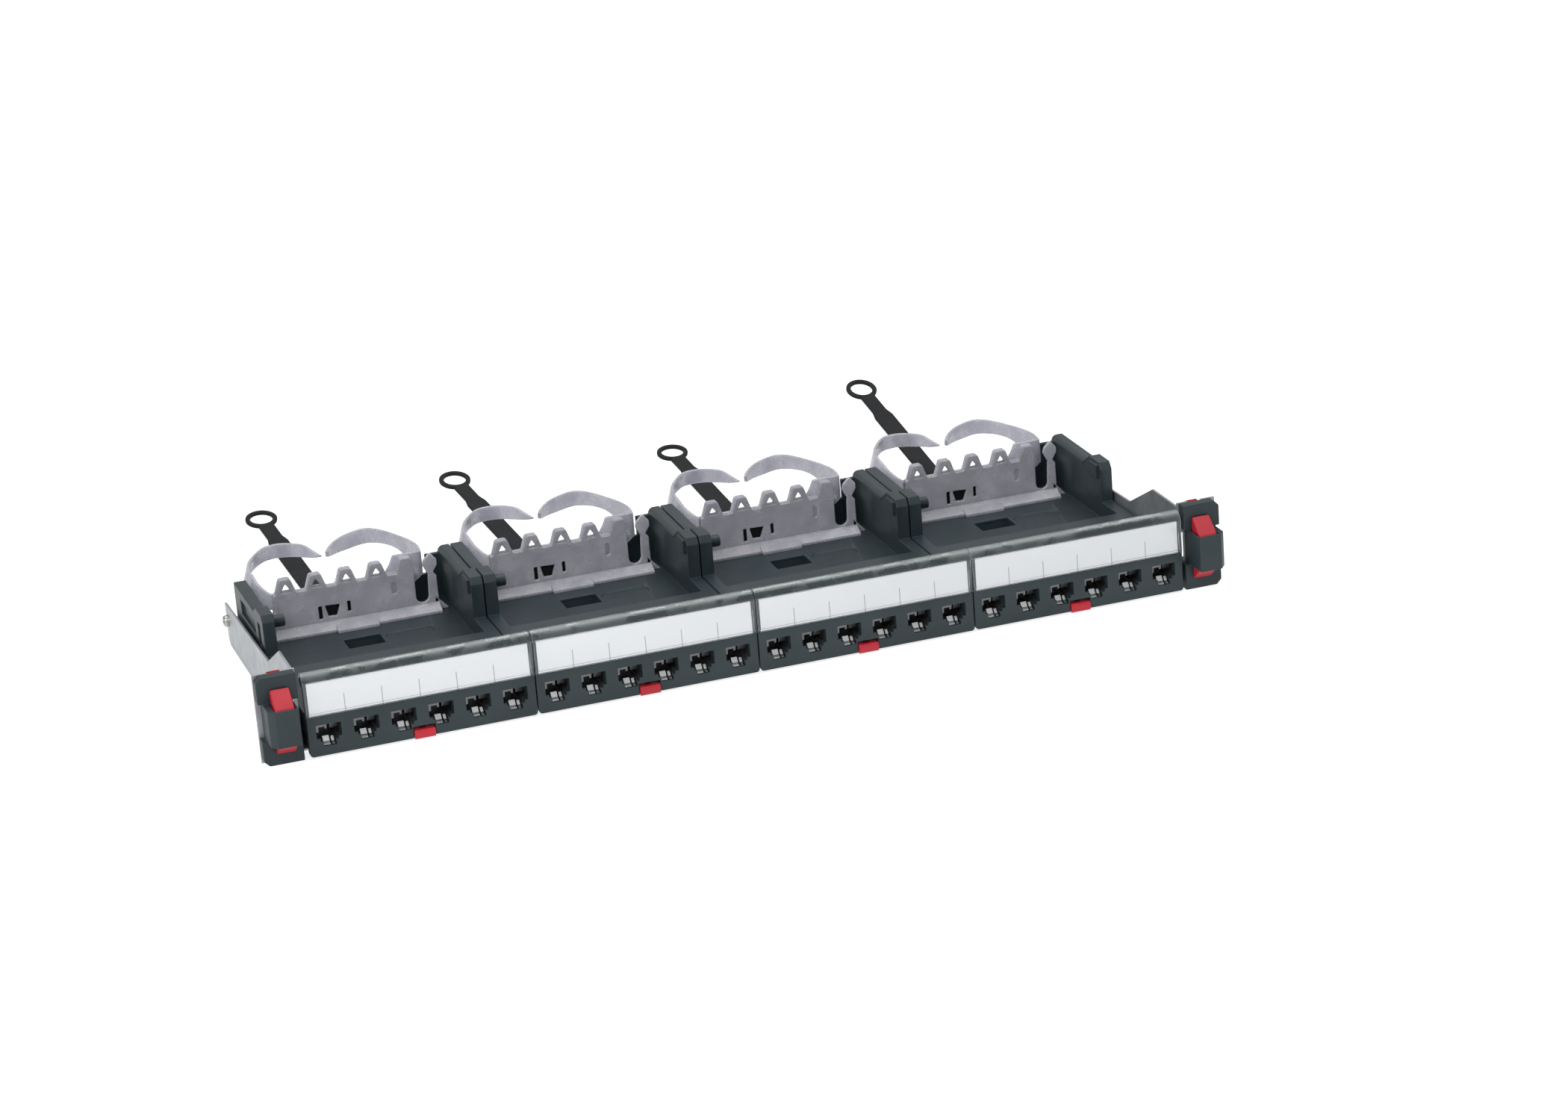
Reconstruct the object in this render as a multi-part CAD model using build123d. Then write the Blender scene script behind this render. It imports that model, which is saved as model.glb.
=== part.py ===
from build123d import *
import os

os.makedirs("parts", exist_ok=True)

# One-unit rack panel: a folded steel chassis holding four drawers of six shielded sockets.
# X runs along the rack, Y towards the back of the rack, Z up, all in millimetres.
# The origin is the middle of the plane in which the two ears meet the rack rails.

# Rack and layout
rack_width = 482.6
unit_height = 43.6
module_count = 4
module_gap = 0.6
ports_per_module = 6
port_margin = 1.3
side_gap = 1.1
running_gap = 0.3

# Chassis sheet
sheet = 1.2
chassis_depth = 160.0
ear_width = 19.0
floor_bottom = -20.8
side_front_top = 20.0
side_front_length = 29.0
side_slope_length = 30.0
side_rear_top = 4.5
side_rear_drop = 3.5
side_corner_cut = 3.0
floor_front = 2.0
rear_lip_height = 7.0
guide_rib_height = 8.0
catch_notch_depth = 7.0
ear_slit_width = 1.0
ear_slit_height = 12.8
ear_slit_offset = 0.6

# Front of a drawer
fascia_stand = 8.5
fascia_wall = 4.0
fascia_bottom = -20.6
label_sill = -1.4
label_recess = 1.5
label_wall = 1.8
chin_height = 4.0
chin_proud = 0.5
fascia_corner = 1.6
hinge_height = 15.6
hinge_bar_radius = 2.7
cover_thickness = 1.1
cover_wrap = 160.0
cover_rim = 1.4
cover_rim_rise = 0.4
card_thickness = 0.25
card_margin = 2.0
card_height = 15.8

# Sockets
socket_width = 11.9
socket_height = 6.6
socket_top = -5.6
step_width = 8.6
step_height = 1.4
notch_width = 6.2
notch_height = 2.6
shell_gap = 3.3
shell_wall = 1.4
shell_length = 30.0
socket_depth = 22.0
insert_length = 8.0
carrier_length = 11.0
carrier_thickness = 0.9

# Release tab
tab_width = 10.0
tab_height = 4.5
tab_proud = 1.5
tab_bottom = -21.3
tab_travel = 1.2
tongue_width = 2.6
tongue_length = 12.0
tongue_height = 2.4

# Drawer tray
tray_setback = 17.5
housing_depth = 62.0
bay_setback = 81.0
tray_skin = 1.4
housing_top = 0.0
deck_top = -9.0
deck_thickness = 1.6
skirt = 2.6
bay_wall = 6.2
wall_top = 17.0
ear_top = 20.6
ear_length = 15.0
ear_slope = 5.0
wall_recess = 1.6
shoulder_radius = 3.0
lip_width = 7.0
lip_thickness = 2.4
boss_radius = 3.0
boss_length = 6.0
guide_rebate = 1.2
pocket_width = 18.0
pocket_depth = 13.0
pocket_offset = -2.0
pocket_setback = 51.0
bed_depth = 0.6
window_rise = 1.2
window_width = 11.0
window_height = 5.5

# Cable comb
comb_margin = 13.0
comb_setback = 20.0
comb_wall = 1.8
comb_rows_gap = 5.0
comb_top = 20.4
comb_valley = 12.6
tooth_count = 5
tooth_margin = 7.5
tooth_offset = -1.0
tooth_base = 11.4
tooth_tip = 5.2
comb_foot_length = 5.5
comb_foot_thickness = 1.6
comb_tab_offset = 31.0
comb_tab_width = 21.0
comb_tab_length = 2.5
arm_thickness = 1.8
arm_height = 6.6
arm_root_height = 13.0
slot_width = 6.4
prong_width = 4.2
comb_spike = 5.0
comb_shelf = 1.6
tooth_round = 1.5

# Cable strap
strap_width = 9.6
strap_neck_width = 5.6
strap_thickness = 1.8
strap_wide_length = 76.0
strap_neck_length = 24.0
strap_step_length = 3.0
strap_foot_length = 7.0
strap_across = 30.0
ring_radius = 7.8
ring_hole_radius = 5.4
ring_thickness = 2.6
strap_rise = [11.5, 13.4, 9.6, 20.0]
strap_swing = [-1.6, 2.5, -2.8, -0.2]

# End caps and latches
cap_overlap = 0.3
cap_thickness = 5.8
cap_corner = 2.5
cap_round = 0.6
cap_front_wall = 1.4
pad_offset = 2.3
pad_half_height = 9.0
pad_face_width = 11.2
pad_flank_width = 3.0
pad_flank_depth = 3.8
pad_front = -20.0
pad_wall = 1.6
pad_side_wall = 0.9
latch_width = 9.4
latch_stem_width = 6.6
latch_top = 15.8
latch_proud = 10.0
latch_inner_end = 4.0
latch_travel = 3.0
hook_thickness = 3.0
hook_top = 20.0
hook_nose = 1.4
rail_thickness = 2.0

# Earth screw
screw_radius = 1.5
screw_head_radius = 2.9
screw_head_height = 2.6
screw_slot = 1.0
screw_slot_span = 4.6
screw_slot_depth = 0.9
nut_width = 5.5
nut_height = 2.4
screw_height = -7.0
screw_from_rear = 5.0

# Places that follow from the sizes above
half_unit = unit_height / 2
half_rack = rack_width / 2
side_outer = half_rack - ear_width
side_inner = side_outer - sheet
module_pitch = 2 * (side_inner - side_gap) / module_count
port_pitch = (module_pitch - 2 * port_margin) / ports_per_module
shell_width = port_pitch - shell_gap
cap_inner = side_outer - cap_overlap
cap_outer = half_rack - cap_overlap
pad_inner = side_outer + pad_offset
floor_top = floor_bottom + sheet
fascia_front = -fascia_stand
tray_front = fascia_front + fascia_wall
tray_base = floor_top + running_gap
tray_rear = chassis_depth - tray_setback
pocket_front = tray_rear - pocket_setback
step_back = tray_front + housing_depth
bay_front = tray_front + bay_setback
drawer_left = module_gap / 2
drawer_right = module_pitch - module_gap / 2
drawer_middle = module_pitch / 2
label_face = fascia_front + label_recess
hinge_back = label_face + hinge_bar_radius
cover_outer_radius = hinge_back - fascia_front
cover_inner_radius = cover_outer_radius - cover_thickness
socket_bottom = socket_top - socket_height
notch_bottom = socket_bottom - step_height - notch_height
shell_top = socket_top + shell_wall
shell_bottom = tray_base + tray_skin
latch_middle = pad_inner + pad_side_wall + running_gap + latch_width / 2
catch_half = tab_width / 2 + running_gap
comb_width = module_pitch - 2 * comb_margin
comb_left = drawer_middle - comb_width / 2
comb_right = drawer_middle + comb_width / 2
tooth_pitch = (comb_width - tooth_margin) / tooth_count
comb_front = tray_rear - comb_setback
comb_rear = comb_front + comb_wall + comb_rows_gap
comb_back = comb_rear + comb_wall
slot_left = comb_right - prong_width - slot_width


def block(x0, x1, y0, y1, z0, z1):
    """A box between two corners."""
    size = (x1 - x0, y1 - y0, z1 - z0)
    centre = ((x0 + x1) / 2, (y0 + y1) / 2, (z0 + z1) / 2)
    return Pos(*centre) * Box(*size)


def side_prism(outline, x0, x1):
    """A Y-Z outline carried along X from x0 to x1."""
    face = Plane.YZ.offset(x0) * Polygon(*outline, align=None)
    return extrude(face, amount=x1 - x0, dir=(1, 0, 0))


def front_prism(sketch, y0, y1):
    """An X-Z sketch carried along Y from y0 to y1."""
    return extrude(Plane.XZ.offset(-y0) * sketch, amount=y1 - y0, dir=(0, 1, 0))


def port_places():
    """X of each socket's middle in a drawer."""
    first = drawer_middle - port_pitch * (ports_per_module - 1) / 2
    return [first + port_pitch * k for k in range(ports_per_module)]


def socket_outline(grow):
    """The stepped outline of a plug opening, wide above and notched below, grown all round."""
    wide = socket_width / 2 + grow
    step = step_width / 2 + grow
    notch = notch_width / 2 + grow
    top = socket_top + grow
    shoulder = socket_bottom - grow
    ledge = shoulder - step_height
    bottom = notch_bottom - grow
    right = [(wide, top), (wide, shoulder), (step, shoulder), (step, ledge), (notch, ledge), (notch, bottom)]
    left = [(-x, z) for x, z in reversed(right)]
    return Polygon(*(right + left), align=None)


def side_plate_outline():
    """The chassis side: tall behind the ear, sloping down to the low rear part."""
    slope_start = side_front_length
    slope_end = side_front_length + side_slope_length
    return [
        (-sheet, floor_bottom),
        (chassis_depth - side_corner_cut, floor_bottom),
        (chassis_depth, floor_bottom + side_corner_cut),
        (chassis_depth, side_rear_top - side_rear_drop),
        (slope_end, side_rear_top),
        (slope_start, side_front_top),
        (-sheet, side_front_top),
    ]


def ear(side):
    """The flange at one end that meets the rack rail, with two open slots for the hooks."""
    inner = side * side_inner
    outer = side * half_rack
    plate = block(min(inner, outer), max(inner, outer), -sheet, 0, -half_unit, half_unit)
    slot_half = latch_stem_width / 2 + running_gap
    slot_low = hook_top - hook_thickness - latch_travel - running_gap
    middle = side * latch_middle
    for low, high in ((slot_low, half_unit + 1), (-half_unit - 1, -slot_low)):
        plate -= block(middle - slot_half, middle + slot_half, -sheet - 1, 1, low, high)
    sight = side * (side_outer + ear_slit_offset + ear_slit_width / 2)
    plate -= block(sight - ear_slit_width / 2, sight + ear_slit_width / 2, -sheet - 1, 1,
                   -ear_slit_height / 2, ear_slit_height / 2)
    return plate


def make_chassis():
    """Folded steel: floor, two side plates, two ears, rear lip and the ribs between the drawers."""
    body = block(-side_outer, side_outer, floor_front, chassis_depth - side_corner_cut,
                 floor_bottom, floor_top)
    for side in (-1, 1):
        x0 = min(side * side_inner, side * side_outer)
        body += side_prism(side_plate_outline(), x0, x0 + sheet)
        body += ear(side)
    lip_front = chassis_depth - side_corner_cut - sheet
    body += block(-side_inner, side_inner, lip_front, lip_front + sheet,
                  floor_top, floor_top + rear_lip_height)
    for k in range(1, module_count):
        rib = (k - module_count / 2) * module_pitch
        body += block(rib - sheet / 2, rib + sheet / 2, floor_front + 6, tray_rear,
                      floor_top, floor_top + guide_rib_height)
    for k in range(module_count):
        middle = module_left(k) + drawer_middle
        body -= block(middle - catch_half, middle + catch_half, floor_front - 1,
                      floor_front + catch_notch_depth, floor_bottom - 1, floor_top + 1)
    hole = Rot(0, 90, 0) * Cylinder(screw_radius, 4 * sheet)
    body -= Pos(-side_outer, chassis_depth - screw_from_rear, screw_height) * hole
    return body


def module_left(k):
    """X of the left edge of drawer k."""
    return (k - module_count / 2) * module_pitch


def make_tray():
    """The moulded drawer: socket housing in front, low deck and two tall cable walls behind."""
    outline = [
        (tray_front, tray_base),
        (tray_rear, tray_base),
        (tray_rear, wall_top),
        (bay_front + ear_length + ear_slope, wall_top),
        (bay_front + ear_length, ear_top),
        (bay_front + 2.5, ear_top),
        (bay_front, ear_top - 3.5),
        (bay_front, housing_top),
        (tray_front, housing_top),
    ]
    body = side_prism(outline, drawer_left, drawer_right)
    inner_left = drawer_left + bay_wall
    inner_right = drawer_right - bay_wall
    body -= block(inner_left, inner_right, step_back, tray_rear + 1, deck_top, ear_top + 1)
    body -= block(drawer_left + skirt, drawer_right - skirt, step_back, tray_rear + 1,
                  tray_base - 1, deck_top - deck_thickness)
    body -= block(drawer_left + skirt, drawer_right - skirt, tray_front - 1, step_back - tray_skin,
                  tray_base + tray_skin, housing_top - tray_skin)
    # outer faces: a rebate that clears the guide ribs and a shallow recess in each tall wall
    rebate_top = floor_top + guide_rib_height + running_gap
    recess_rear = tray_rear - 14
    recess_front = bay_front + ear_length + 4
    for edge, turn in ((drawer_left, 1), (drawer_right, -1)):
        rebate = sorted((edge - turn, edge + turn * guide_rebate))
        body -= block(*rebate, tray_front - 1, tray_rear + 1, tray_base - 1, rebate_top)
        recess = sorted((edge - turn, edge + turn * wall_recess))
        body -= block(*recess, recess_front, recess_rear, 5.0, wall_top - 4.5)
        body -= block(*recess, bay_front + 7, bay_front + 13, 2.0, wall_top - 3.0)
    # the right wall has a round shoulder towards the bay and a lip at its rear end
    top_edges = body.edges().filter_by(Axis.Y).filter_by_position(Axis.Z, wall_top - 0.1, wall_top + 0.1)
    shoulder = top_edges.filter_by_position(Axis.X, inner_right - 0.1, inner_right + 0.1)
    body = fillet(shoulder, shoulder_radius)
    body += block(inner_right - lip_width, inner_right + 1, tray_rear - lip_thickness, tray_rear,
                  deck_top, wall_top - shoulder_radius)
    body += block(inner_right - 1.2, inner_right + 1, bay_front + 3, bay_front + ear_length - 2,
                  wall_top - 5, ear_top - 1.5)
    # a round boss on the left wall points into the bay
    boss = Rot(0, 90, 0) * Cylinder(boss_radius, boss_length + 1)
    body += Pos(inner_left + boss_length / 2 - 0.5, bay_front + 8, wall_top - 2.6) * boss
    # deck: a stepped pocket, a rounded recess beside it
    pocket_x = drawer_middle + pocket_offset
    body -= block(pocket_x - pocket_width / 2, pocket_x + pocket_width / 2,
                  pocket_front, pocket_front + pocket_depth,
                  deck_top - deck_thickness - 1, deck_top + 1)
    bed = SlotOverall(pocket_width + 6, pocket_depth - 2)
    bed_place = (pocket_x + pocket_width + 5, pocket_front + pocket_depth / 2, deck_top - bed_depth)
    body -= extrude(Pos(*bed_place) * bed, amount=2)
    # the sockets' cables leave through a row of windows above the deck
    for x in port_places():
        body -= block(x - window_width / 2, x + window_width / 2, step_back - tray_skin - 1, step_back + 1,
                      deck_top + window_rise, deck_top + window_rise + window_height)
    blade_half = tongue_width / 2 + running_gap
    body -= block(drawer_middle - blade_half, drawer_middle + blade_half, tray_front - 1,
                  tray_front + tongue_length + 2, tray_base - 1, tray_base + tray_skin + 0.5)
    return body


def make_fascia():
    """The moulded front: sockets below, a recess for the label above, a round bar as hinge."""
    outline = [
        (fascia_front - chin_proud, fascia_bottom),
        (tray_front, fascia_bottom),
        (tray_front, housing_top - tray_skin),
        (label_face + label_wall, housing_top - tray_skin),
        (label_face + label_wall, hinge_height),
        (label_face, hinge_height),
        (label_face, label_sill),
        (fascia_front, label_sill),
        (fascia_front, fascia_bottom + chin_height),
    ]
    body = side_prism(outline, drawer_left, drawer_right)
    width = drawer_right - drawer_left
    bar = Rot(0, 90, 0) * Cylinder(hinge_bar_radius, width)
    body += Pos(drawer_middle, hinge_back, hinge_height) * bar
    low_corners = body.edges().filter_by(Axis.Y).filter_by_position(Axis.Z, fascia_bottom - 0.1, fascia_bottom + 0.1)
    body = fillet(low_corners, fascia_corner)
    for x in port_places():
        body -= front_prism(Pos(x, 0) * socket_outline(0), fascia_front - 1, tray_front + 1)
    notch_top = tab_bottom + tab_height + tab_travel + running_gap
    body -= block(drawer_middle - catch_half, drawer_middle + catch_half, fascia_front - 1,
                  tray_front + 1, fascia_bottom - 1, notch_top)
    return body


def make_cover():
    """The clear label cover: a thin plate whose top curls over the hinge bar."""
    low = label_sill + 0.5
    outer_end = (hinge_back, hinge_height)
    start = 180.0
    end = start - cover_wrap
    outer_arc = CenterArc(outer_end, cover_outer_radius, start, -cover_wrap)
    inner_arc = CenterArc(outer_end, cover_inner_radius, end, cover_wrap)
    front_line = Line((fascia_front, low), outer_arc @ 0)
    end_line = Line(outer_arc @ 1, inner_arc @ 0)
    back_line = Line(inner_arc @ 1, (fascia_front + cover_thickness, low))
    low_line = Line((fascia_front + cover_thickness, low), (fascia_front, low))
    face = make_face([front_line, outer_arc, end_line, inner_arc, back_line, low_line])
    body = extrude(Plane.YZ.offset(drawer_left) * face, amount=drawer_right - drawer_left)
    rim_front = fascia_front - cover_rim_rise
    body += block(drawer_left, drawer_right, rim_front, fascia_front + 0.2, low, low + cover_rim)
    for x0 in (drawer_left, drawer_right - cover_rim):
        body += block(x0, x0 + cover_rim, rim_front, fascia_front + 0.2, low, hinge_height)
    return body


def make_card():
    """The paper label strip behind the cover."""
    low = label_sill + 0.6
    return block(card_margin, module_pitch - card_margin, label_face - card_thickness, label_face,
                 low, low + card_height)


def make_jack_shells():
    """Six die-cast socket shells, each a box with the stepped plug cavity in its front."""
    shells = []
    rear = tray_front + shell_length
    for x in port_places():
        shell = block(x - shell_width / 2, x + shell_width / 2, tray_front, rear, shell_bottom, shell_top)
        shell -= front_prism(Pos(x, 0) * socket_outline(0.1), tray_front - 1, tray_front + socket_depth)
        shell -= block(x - 5, x + 5, rear - 5, rear + 1, shell_bottom - 1, socket_bottom)
        shells.append(shell)
    return Compound(shells)


def make_jack_inserts():
    """Six contact carriers: a block at the cavity's end and a ledge along its roof."""
    inserts = []
    half = socket_width / 2
    back = tray_front + socket_depth
    for x in port_places():
        insert = block(x - half, x + half, back - insert_length, back, socket_bottom, socket_top)
        insert += block(x - half + 1, x + half - 1, back - insert_length - carrier_length,
                        back - insert_length, socket_top - carrier_thickness, socket_top)
        inserts.append(insert)
    return Compound(inserts)


def make_release_tab():
    """The finger tab with the spring blade that runs back between the two middle sockets."""
    head = block(-tab_width / 2, tab_width / 2, fascia_front - tab_proud, tray_front - 0.5,
                 tab_bottom, tab_bottom + tab_height)
    front = head.edges().filter_by(Axis.X).filter_by_position(Axis.Y, fascia_front - tab_proud - 0.1,
                                                             fascia_front - tab_proud + 0.1)
    head = fillet(front, tab_proud)
    tongue = block(-tongue_width / 2, tongue_width / 2, tray_front - 1, tray_front + tongue_length,
                   tray_base, tray_base + tongue_height)
    return Pos(drawer_middle, 0, 0) * (head + tongue)


def tooth_places():
    """X of each tooth's middle."""
    first = drawer_middle + tooth_offset - tooth_pitch * (tooth_count - 1) / 2
    return [first + tooth_pitch * k for k in range(tooth_count)]


def crest_outline():
    """The toothed upper edge of the comb as an X-Z sketch, with a three-cornered hole per tooth."""
    low = comb_valley - comb_shelf
    crest = Pos((comb_left + slot_left) / 2, (low + comb_valley) / 2) * Rectangle(
        slot_left - comb_left, comb_shelf)
    for x in tooth_places():
        outline = [(x - tooth_base / 2, low), (x + tooth_base / 2, low), (x + tooth_base / 2, comb_valley),
                   (x + tooth_tip / 2, comb_top), (x - tooth_tip / 2, comb_top), (x - tooth_base / 2, comb_valley)]
        tooth = Polygon(*outline, align=None)
        crown = tooth.vertices().filter_by_position(Axis.Y, comb_top - 0.1, comb_top + 0.1)
        crest += fillet(crown, tooth_round)
    crest -= Pos(slot_left + comb_width / 2, 0) * Rectangle(comb_width, 4 * comb_top)
    for x in tooth_places()[:-1]:
        crest -= Polygon((x - 2.2, comb_valley + 0.6), (x + 2.2, comb_valley + 0.6), (x, comb_valley + 4.0),
                         align=None)
    return crest


def front_plate_outline():
    """The comb's front plate as an X-Z sketch, pierced beside its second gap."""
    low = deck_top + 3
    plate = Polygon((comb_left, low), (slot_left, low), (slot_left, comb_valley), (comb_left + 3.5, comb_valley),
                    (comb_left + 1, 2.0), align=None)
    teeth = tooth_places()
    gap_x = (teeth[1] + teeth[2]) / 2 - 2.5
    plate -= Polygon((gap_x - 3.8, 3.4), (gap_x - 2.6, -2.4), (gap_x + 1.8, -2.4), (gap_x + 3.8, 3.6), align=None)
    plate -= Pos(gap_x - 6.8, 1.0) * Rectangle(1.3, 5.4)
    plate -= Pos(gap_x + 8.2, 1.0) * Rectangle(1.3, 5.4)
    plate -= Pos(teeth[3] + 6.0, 5.5) * Rectangle(1.3, 7.0)
    return plate


def clip_outline():
    """The right end of the comb: a round-bottomed slot and the leaf-shaped prong beyond it."""
    low = deck_top + 3
    bottom = 0.2
    prong_left = comb_right - prong_width
    clip = Polygon((slot_left - 1, low), (comb_right + 0.8, low), (comb_right, 13.0), (comb_right + 0.9, 14.2),
                   (comb_right + 0.4, 17.2), (comb_right - 1.8, comb_top + 0.6), (prong_left + 0.4, 18.0),
                   (prong_left - 0.6, 14.6), (prong_left + 0.8, 11.0), (prong_left, 7.5), (prong_left, bottom),
                   (slot_left - 1, bottom), align=None)
    return clip - Pos(slot_left + slot_width / 2, bottom) * Circle(slot_width / 2)


def arm_strip(points):
    """A strip on edge that follows a smooth line seen from above, full height all along."""
    line = trace(Spline(*points), arm_thickness)
    return extrude(Pos(0, 0, comb_top - arm_root_height) * line, amount=arm_root_height, dir=(0, 0, 1))


def comb_arm(points):
    """One curled arm: a strip on edge, tall at its root and low towards its tip."""
    reach = max(y for _, y in points) + 5
    left = min(x for x, _ in points) - 5
    right = max(x for x, _ in points) + 5
    low = comb_top - arm_root_height
    under = comb_top - arm_height
    wedge = [(comb_back + 1, low - 1), (reach, low - 1), (reach, under), (comb_back + 17, under)]
    return arm_strip(points) - side_prism(wedge, left, right)


def make_comb():
    """The cable comb: teeth on a hollow bar with a slanted foot, a clip prong, two arms in a ring."""
    body = front_prism(crest_outline(), comb_front, comb_back)
    body += front_prism(front_plate_outline() + clip_outline(), comb_front, comb_front + comb_wall)
    body += block(comb_left + 3.5, slot_left, comb_rear, comb_back, deck_top, comb_valley)
    for x in (comb_left + 3.5, slot_left - comb_wall):
        body += block(x, x + comb_wall, comb_front, comb_back, deck_top, comb_valley)
    # foot: a slanted plate down to the deck, longer under the second and third teeth
    foot_front = comb_front - comb_foot_length
    foot = [(comb_front + comb_wall, deck_top + 7), (comb_front, deck_top + 7),
            (foot_front, deck_top + comb_foot_thickness), (foot_front, deck_top), (comb_front, deck_top)]
    body += side_prism(foot, comb_left, comb_right)
    tab_left = comb_left + comb_tab_offset
    body += block(tab_left, tab_left + comb_tab_width, foot_front - comb_tab_length, foot_front + 1,
                  deck_top, deck_top + comb_foot_thickness)
    spike = Polygon((comb_right - 1, deck_top), (comb_right + comb_spike, deck_top),
                    (comb_right - 1, deck_top + 7.5), align=None)
    body += front_prism(spike, comb_front, comb_front + comb_wall)
    # the two arms of the ring, their lines seen from above
    start = comb_rear + comb_wall / 2
    left_line = [(comb_left + 6, start), (comb_left - 1, start + 5), (comb_left - 4, start + 16),
                 (comb_left + 1, start + 33), (comb_left + 9, start + 44), (comb_left + 23, start + 44.5),
                 (comb_left + 31, start + 37), (comb_left + 32.5, start + 20)]
    right_line = [(comb_right - 10, start), (comb_right - 6.5, start + 9), (comb_right - 5.5, start + 20),
                  (comb_right - 8, start + 31), (comb_right - 15, start + 44), (comb_right - 22, start + 46.5),
                  (comb_right - 36, start + 41), (comb_right - 47.5, start + 26)]
    left_arm = comb_arm(left_line)
    # the left arm's top drops to the bar at its root
    drop = [(start - 3, comb_valley), (start, comb_valley), (start + 14, comb_top), (start + 14, comb_top + 1),
            (start - 3, comb_top + 1)]
    left_arm -= side_prism(drop, comb_left - 10, comb_left + 7)
    body += left_arm
    body += comb_arm(right_line)
    return body


def make_strap(rise, swing):
    """The rubber cable strap: a flat foot on the deck, a band rising to the rear, a round ring."""
    foot_start = comb_back + running_gap
    bend = foot_start + strap_foot_length
    half = strap_width / 2
    foot = block(-half, half, foot_start, bend, deck_top, deck_top + strap_thickness)
    neck_left = half - strap_neck_width
    neck_end = strap_wide_length + strap_neck_length
    outline = [(half, -1.0), (half, neck_end), (neck_left, neck_end),
               (neck_left, strap_wide_length + strap_step_length), (-half, strap_wide_length), (-half, -1.0)]
    band = extrude(Polygon(*outline, align=None), amount=strap_thickness, dir=(0, 0, 1))
    ring_place = (half - strap_neck_width / 2, neck_end + ring_hole_radius, (strap_thickness - ring_thickness) / 2)
    ring = Circle(ring_radius) - Circle(ring_hole_radius)
    band += extrude(Pos(*ring_place) * ring, amount=ring_thickness, dir=(0, 0, 1))
    band = Pos(0, bend, deck_top) * Rot(0, 0, swing) * Rot(rise, 0, 0) * band
    band -= block(-2 * half, 2 * half, bend - 9, bend + 9, deck_top - 9, deck_top)
    return Pos(strap_across, 0, 0) * (foot + band)


def make_cap():
    """The right end cap: two blocks on the ear, joined by a hollow pad that stands out between them."""
    rear = -sheet
    front = rear - cap_thickness
    face_outer = pad_inner + pad_face_width
    flank_outer = face_outer + pad_flank_width
    pad = Polygon((pad_inner, rear), (pad_inner, pad_front), (face_outer, pad_front),
                  (flank_outer, pad_front + pad_flank_depth), (flank_outer, rear), align=None)
    body = extrude(Pos(0, 0, -pad_half_height) * pad, amount=2 * pad_half_height, dir=(0, 0, 1))
    front_edges = body.edges().filter_by(Axis.Z).sort_by(Axis.Y)[:2]
    body = fillet(front_edges, cap_round)
    for turn in (-1, 1):
        low, high = sorted((turn * pad_half_height, turn * half_unit))
        piece = block(cap_inner, cap_outer, front, rear, low, high)
        outer_edges = piece.edges().filter_by(Axis.Y).sort_by(Axis.X)[-2:].sort_by(Axis.Z)
        outer_corner = outer_edges[-1] if turn > 0 else outer_edges[0]
        body += chamfer(outer_corner, cap_corner)
    # the latches slide inside the pad, through the blocks' front walls and behind them
    head_half = latch_width / 2 + running_gap
    stem_half = latch_stem_width / 2 + running_gap
    body -= block(latch_middle - head_half, latch_middle + head_half, pad_front + pad_wall, front,
                  -pad_half_height - 1, pad_half_height + 1)
    slot_top = pad_half_height + hook_thickness + 2.4
    body -= block(latch_middle - stem_half, latch_middle + stem_half, front - 1, rear + 1,
                  -slot_top, slot_top)
    channel_top = hook_top + running_gap
    body -= block(latch_middle - stem_half, latch_middle + stem_half, front + cap_front_wall, rear + 1,
                  -channel_top, channel_top)
    return body


def make_latch():
    """The right upper latch: a red ramp before the cap, a stem behind it and a hook for the rail."""
    cap_front = -sheet - cap_thickness
    face = cap_front - running_gap
    front = face - latch_proud
    ramp = [(face, latch_top), (face - 1.2, latch_top), (front, pad_half_height - 0.6),
            (front, latch_inner_end), (front + 3, latch_inner_end), (face, latch_inner_end + 3)]
    head = side_prism(ramp, latch_middle - latch_width / 2, latch_middle + latch_width / 2)
    crest = head.edges().filter_by(Axis.X).filter_by_position(Axis.Y, face - 1.3, face - 1.1)
    head = fillet(crest, 1.0)
    hook_low = hook_top - hook_thickness
    nose_start = rail_thickness + running_gap
    stem = [
        (face - 0.5, pad_half_height - 1),
        (cap_front + 4.6, pad_half_height - 1),
        (cap_front + 4.6, hook_low),
        (nose_start + 1.8, hook_low),
        (nose_start + 1.8, hook_top),
        (nose_start, hook_top + hook_nose),
        (nose_start, hook_top),
        (cap_front + 1.7, hook_top),
        (cap_front + 1.7, pad_half_height + hook_thickness),
        (face - 0.5, pad_half_height + hook_thickness),
    ]
    rod = side_prism(stem, latch_middle - latch_stem_width / 2, latch_middle + latch_stem_width / 2)
    return head + rod


def make_screw():
    """The earth screw: a round head outside the left plate, its shank and a hexagon nut inside."""
    place = Pos(-side_outer, chassis_depth - screw_from_rear, screw_height)
    head = Pos(-screw_head_height / 2, 0, 0) * Rot(0, 90, 0) * Cylinder(screw_head_radius, screw_head_height)
    rim = head.edges().filter_by(GeomType.CIRCLE).sort_by(Axis.X)[0]
    head = fillet(rim, 1.2)
    for slot in ((screw_slot, screw_slot_span), (screw_slot_span, screw_slot)):
        head -= Pos(-screw_head_height, 0, 0) * Box(2 * screw_slot_depth, *slot)
    shank_length = sheet + nut_height + 1.5
    shank = Pos(shank_length / 2 - 0.5, 0, 0) * Rot(0, 90, 0) * Cylinder(screw_radius, shank_length + 1)
    return place * (head + shank)


def make_nut():
    """The nut that holds the earth screw from inside."""
    place = Pos(-side_inner, chassis_depth - screw_from_rear, screw_height)
    hexagon = RegularPolygon(nut_width / 2, 6, major_radius=False) - Circle(screw_radius)
    return place * extrude(Plane.YZ * hexagon, amount=nut_height)


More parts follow.
